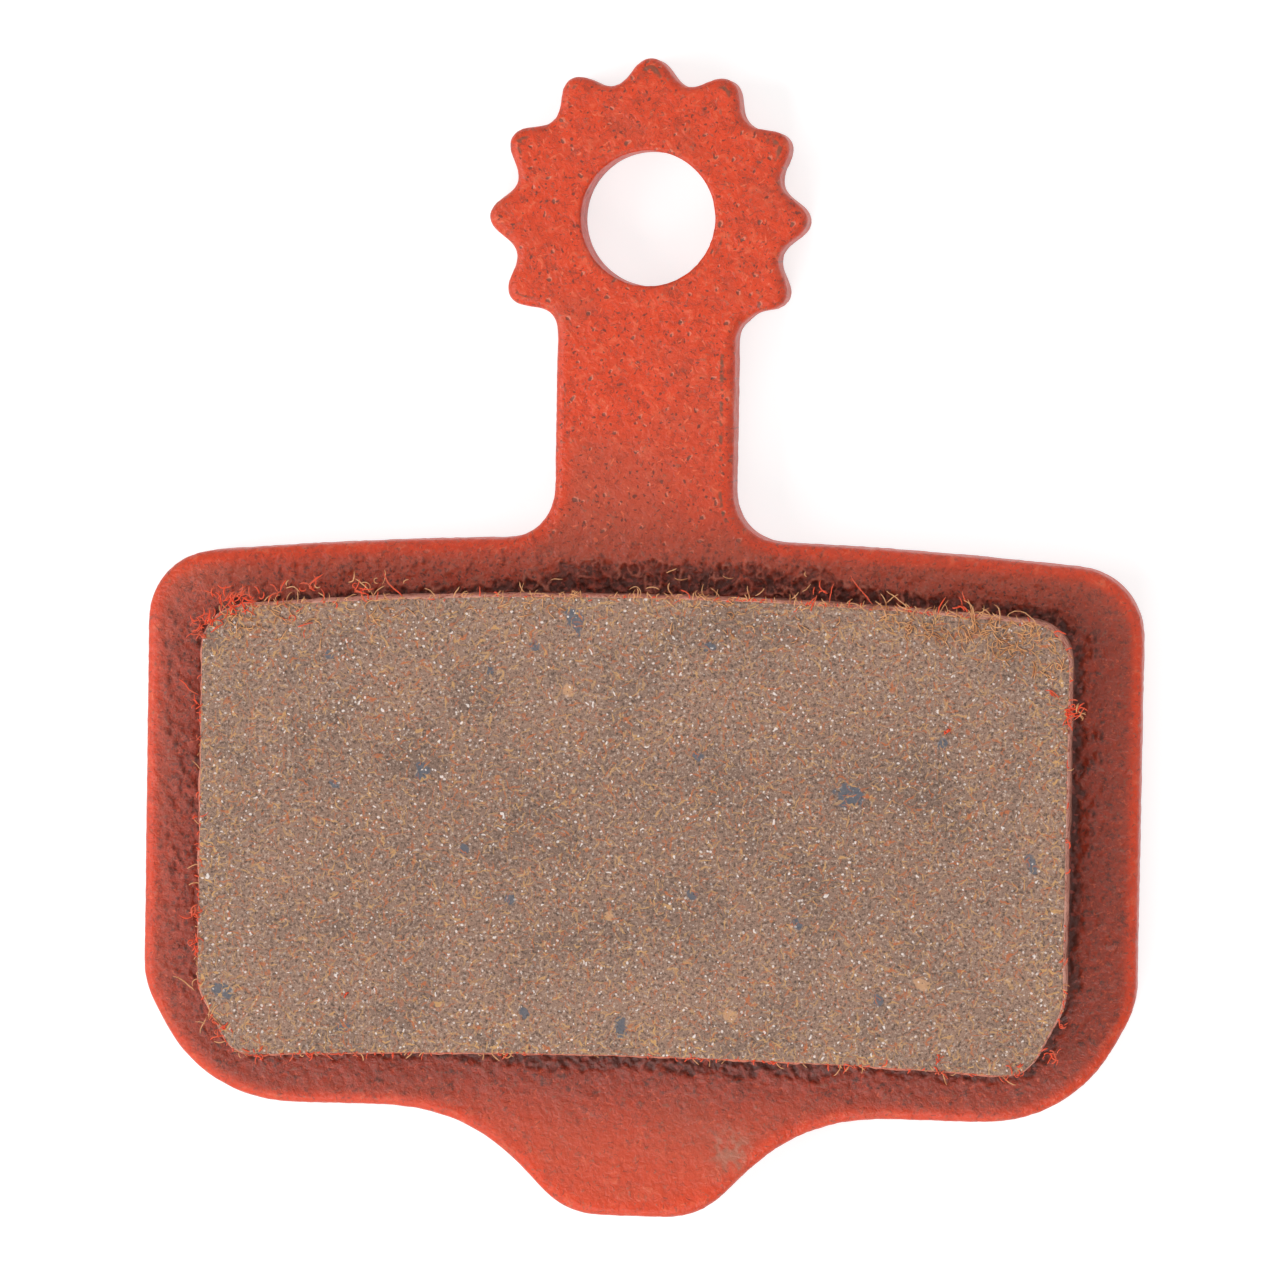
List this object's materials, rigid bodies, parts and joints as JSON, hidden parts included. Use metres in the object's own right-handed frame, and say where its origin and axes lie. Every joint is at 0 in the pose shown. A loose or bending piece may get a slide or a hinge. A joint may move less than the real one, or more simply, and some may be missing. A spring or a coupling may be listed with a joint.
{
  "type": "disc brake pad",
  "caption": "Bicycle disc brake pad: a flat steel backing plate with a toothed pin ring on a neck, and a bonded friction block on its front.",
  "frame": {"origin": "centre of the pin hole, on the flat back face of the backing plate", "axes": "+Z out of the friction face, +Y from the friction block to the top tooth of the pin ring, +X to the right when the friction face is seen with the ring at the top"},
  "size_m": [0.0304, 0.0353, 0.004],
  "materials": {
    "painted_steel": "satin",
    "friction_compound": "matte"
  },
  "bodies": {
    "root": {"backing_plate": "painted_steel", "friction_block": "friction_compound"}
  },
  "joints": []
}
